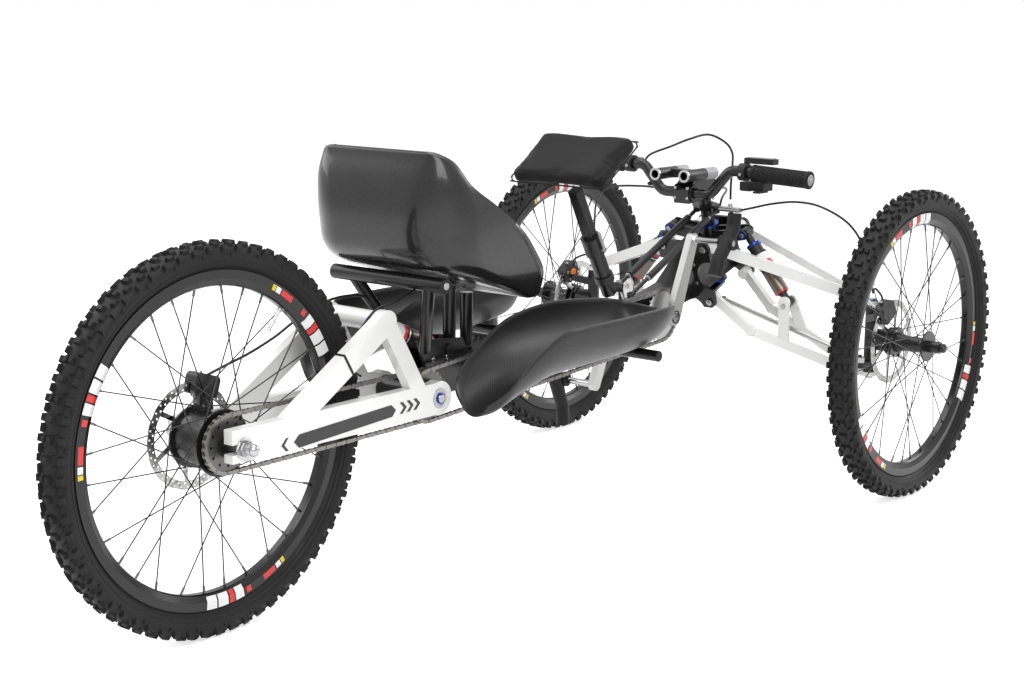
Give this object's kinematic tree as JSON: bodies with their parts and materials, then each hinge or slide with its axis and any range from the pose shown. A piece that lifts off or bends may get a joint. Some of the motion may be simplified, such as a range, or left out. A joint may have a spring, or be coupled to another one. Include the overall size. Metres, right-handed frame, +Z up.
{
  "type": "kneeling off-road hand trike",
  "caption": "Kneeling off-road hand trike: steered front wheels, driven rear wheel, hand cranks, chest steering, bucket seat and leg trays.",
  "frame": {"origin": "on the ground, halfway between the axles and halfway between the two front wheels", "axes": "+X forward, +Y to the rider's left, +Z up"},
  "size_m": [2.2464, 1.104, 0.797],
  "materials": {
    "tyre": "matt, deep block tread",
    "rim": "satin black",
    "hub": "satin black",
    "rotor": "ground",
    "cog": "dark plated",
    "chain": "oiled",
    "crank": "polished",
    "grip": "matt",
    "frame_black": "gloss black",
    "frame_white": "gloss white",
    "steel": "plated",
    "carbon": "gloss clear coat over woven carbon",
    "shock": "black body with small red and blue rings",
    "pad": "soft black cover"
  },
  "bodies": {
    "frame": {"main_beam": "frame_black", "bulkhead_plates": "frame_black", "head_box": "frame_black", "swingarm": "frame_white", "swingarm_bridge": "frame_white", "swingarm_axles": "steel", "rear_chain": "chain", "front_chain": "chain", "upper_arms": "frame_white", "lower_arms": "frame_white", "front_shocks": "shock", "rear_shock": "shock", "rear_caliper": "frame_black", "seat": "carbon", "seat_frame": "frame_black", "seat_posts": "frame_black", "leg_trays": "carbon", "tray_supports": "frame_black", "post_pin": "steel"},
    "rear_wheel": {"rear_tyre": "tyre", "rear_rim": "rim", "rear_hub": "hub", "rear_rotor": "rotor", "rear_cog": "cog"},
    "jackshaft": {"jackshaft_cogs": "cog"},
    "crank": {"crankset": "crank"},
    "crank_grip_left": {"grip_left_crank": "grip"},
    "crank_grip_right": {"grip_right_crank": "grip"},
    "steering": {"steering_column": "frame_black", "handlebar": "frame_black", "hand_grips": "grip", "brake_lever": "frame_black", "twin_tubes": "frame_black"},
    "chest_post": {"chest_post": "frame_black", "chest_pad": "pad"},
    "push_rod_left": {"push_rod_left": "frame_black"},
    "tie_rod_left": {"tie_rod_left": "steel"},
    "knuckle_left": {"knuckle_left": "frame_black"},
    "front_wheel_left": {"front_left_tyre": "tyre", "front_left_rim": "rim", "front_left_hub": "hub", "front_left_rotor": "rotor"},
    "push_rod_right": {"push_rod_right": "frame_black"},
    "tie_rod_right": {"tie_rod_right": "steel"},
    "knuckle_right": {"knuckle_right": "frame_black"},
    "front_wheel_right": {"front_right_tyre": "tyre", "front_right_rim": "rim", "front_right_hub": "hub", "front_right_rotor": "rotor"}
  },
  "joints": [
    {"name": "rear_wheel_spin", "type": "hinge", "parent": "frame", "child": "rear_wheel", "pos_m": [-0.78825, 0, 0.335], "axis": [0, 1, 0], "continuous": true},
    {"name": "crank_turn", "type": "hinge", "parent": "frame", "child": "crank", "pos_m": [0.45475, 0, 0.391], "axis": [0, 1, 0], "continuous": true},
    {"name": "jackshaft_turn", "type": "hinge", "parent": "frame", "child": "jackshaft", "pos_m": [-0.30525, 0, 0.338], "axis": [0, 1, 0], "continuous": true},
    {"name": "crank_grip_left_turn", "type": "hinge", "parent": "crank", "child": "crank_grip_left", "pos_m": [0.38919, 0.17, 0.22874], "axis": [0, 1, 0], "continuous": true},
    {"name": "crank_grip_right_turn", "type": "hinge", "parent": "crank", "child": "crank_grip_right", "pos_m": [0.52031, -0.17, 0.55326], "axis": [0, 1, 0], "continuous": true},
    {"name": "steer", "type": "hinge", "parent": "frame", "child": "steering", "pos_m": [0.73298, 0, 0.49291], "axis": [-0.319, 0, 0.9478], "range_deg": [-25, 25]},
    {"name": "chest_post_turn", "type": "hinge", "parent": "frame", "child": "chest_post", "pos_m": [0.37675, 0, 0.424], "axis": [-0.319, 0, 0.9478], "range_deg": [-25, 25]},
    {"name": "push_rod_left_turn", "type": "hinge", "parent": "steering", "child": "push_rod_left", "pos_m": [0.69821, 0.026, 0.59622], "axis": [-0.319, 0, 0.9478], "range_deg": [-25, 25]},
    {"name": "tie_rod_left_turn", "type": "hinge", "parent": "steering", "child": "tie_rod_left", "pos_m": [0.7168, 0.014, 0.3999], "axis": [-0.319, 0, 0.9478], "range_deg": [-26.5, 26.5]},
    {"name": "kingpin_left", "type": "hinge", "parent": "frame", "child": "knuckle_left", "pos_m": [0.78825, 0.38, 0.335], "axis": [0, 0, 1], "range_deg": [-25, 25]},
    {"name": "front_wheel_left_spin", "type": "hinge", "parent": "knuckle_left", "child": "front_wheel_left", "pos_m": [0.78825, 0.48, 0.335], "axis": [0, 1, 0], "continuous": true},
    {"name": "push_rod_right_turn", "type": "hinge", "parent": "steering", "child": "push_rod_right", "pos_m": [0.69821, -0.026, 0.59622], "axis": [-0.319, 0, 0.9478], "range_deg": [-25, 25]},
    {"name": "tie_rod_right_turn", "type": "hinge", "parent": "steering", "child": "tie_rod_right", "pos_m": [0.7168, -0.014, 0.3999], "axis": [-0.319, 0, 0.9478], "range_deg": [-26.5, 26.5]},
    {"name": "kingpin_right", "type": "hinge", "parent": "frame", "child": "knuckle_right", "pos_m": [0.78825, -0.38, 0.335], "axis": [0, 0, 1], "range_deg": [-25, 25]},
    {"name": "front_wheel_right_spin", "type": "hinge", "parent": "knuckle_right", "child": "front_wheel_right", "pos_m": [0.78825, -0.48, 0.335], "axis": [0, 1, 0], "continuous": true}
  ],
  "couplings": [
    {"joint": "jackshaft_turn", "follows": "crank_turn", "ratio": 1.1667},
    {"joint": "crank_grip_left_turn", "follows": "crank_turn", "ratio": -1},
    {"joint": "crank_grip_right_turn", "follows": "crank_turn", "ratio": -1},
    {"joint": "chest_post_turn", "follows": "steer", "ratio": 1},
    {"joint": "push_rod_left_turn", "follows": "steer", "ratio": -1},
    {"joint": "tie_rod_left_turn", "follows": "steer", "ratio": -1.038},
    {"joint": "kingpin_left", "follows": "steer", "ratio": 1},
    {"joint": "push_rod_right_turn", "follows": "steer", "ratio": -1},
    {"joint": "tie_rod_right_turn", "follows": "steer", "ratio": -1.038},
    {"joint": "kingpin_right", "follows": "steer", "ratio": 1}
  ]
}
